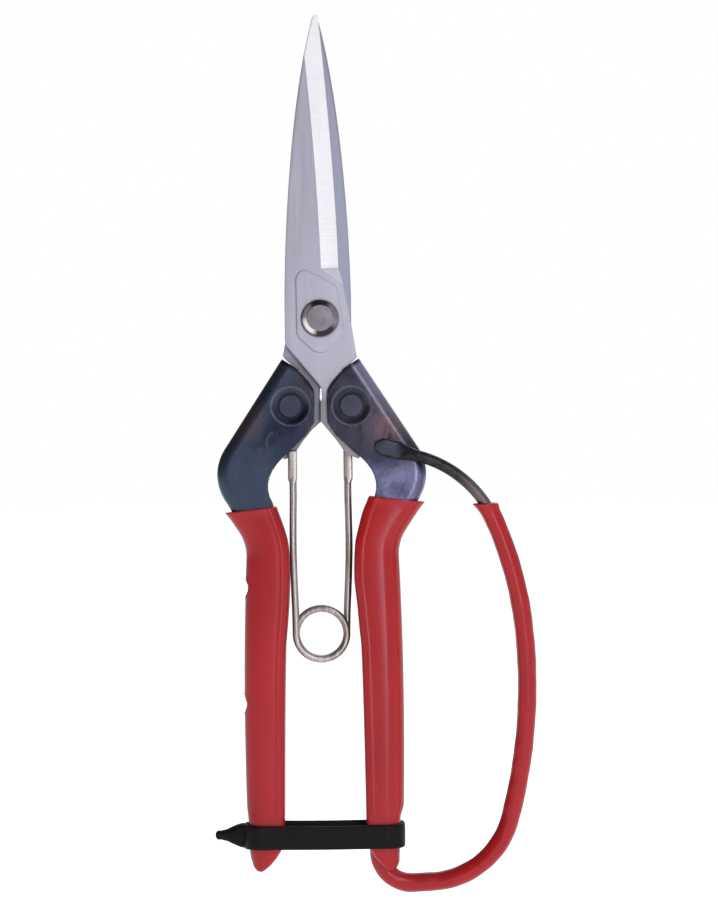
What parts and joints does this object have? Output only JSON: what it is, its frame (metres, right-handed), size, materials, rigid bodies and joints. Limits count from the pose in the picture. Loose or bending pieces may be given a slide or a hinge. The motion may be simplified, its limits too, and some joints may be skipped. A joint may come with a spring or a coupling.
{
  "type": "floral snips",
  "caption": "Spring-opened floral snips with straight pointed blades, dipped channel handles, a looped finger guard and a rubber keeper band, drawn closed.",
  "frame": {"origin": "centre of the pivot rivet's rear flat face, in the plane both grips' rear faces share", "axes": "+Z along the closed blades towards the tips, +X towards the finger guard, +Y out of the rear face, so the front faces -Y"},
  "size_m": [0.0754, 0.0122, 0.2054],
  "materials": {
    "blade_steel": "satin ground steel with a brighter bevel",
    "rivet_steel": "smooth, warm grey",
    "blued_steel": "blued sheet steel, satin, with temper colours near the weld",
    "red_vinyl": "dipped vinyl, semi-gloss",
    "spring_steel": "drawn wire, lightly browned",
    "black_rubber": "moulded, matte"
  },
  "bodies": {
    "guard_half": {"front_blade": "blade_steel", "pivot_rivet": "rivet_steel", "right_handle": "blued_steel", "right_tang_rivet": "blued_steel", "right_grip": "red_vinyl", "guard_rod": "blued_steel", "guard_sleeve": "red_vinyl"},
    "plain_half": {"rear_blade": "blade_steel", "left_handle": "blued_steel", "left_tang_rivet": "blued_steel", "left_grip": "red_vinyl"},
    "spring_right": {"spring_right_leg": "spring_steel"},
    "spring_left": {"spring_left_leg": "spring_steel"},
    "keeper": {"keeper_loop": "black_rubber"}
  },
  "joints": [
    {"name": "blades_open", "type": "hinge", "parent": "guard_half", "child": "plain_half", "pos_m": [0, 0, 0], "axis": [0, 1, 0], "range_deg": [0, 22]},
    {"name": "spring_right_socket", "type": "hinge", "parent": "guard_half", "child": "spring_right", "pos_m": [0.00605, -0.0032, -0.031], "axis": [0, 1, 0], "range_deg": [0, 19.5], "deforming": ["spring_right_leg"]},
    {"name": "spring_coil", "type": "hinge", "parent": "spring_right", "child": "spring_left", "pos_m": [-0.00045, -0.0045, -0.0736], "axis": [0, 1, 0], "range_deg": [-16, 0], "deforming": ["spring_left_leg"]},
    {"name": "keeper_release", "type": "hinge", "parent": "guard_half", "child": "keeper", "pos_m": [0.0262, -0.0045, -0.1244], "axis": [0, -1, 0], "range_deg": [0, 45], "deforming": ["keeper_loop"]}
  ],
  "couplings": [
    {"joint": "spring_right_socket", "follows": "blades_open", "ratio": 0.88},
    {"joint": "spring_coil", "follows": "blades_open", "ratio": -0.72},
    {"joint": "keeper_release", "follows": "blades_open", "ratio": 2.04}
  ]
}
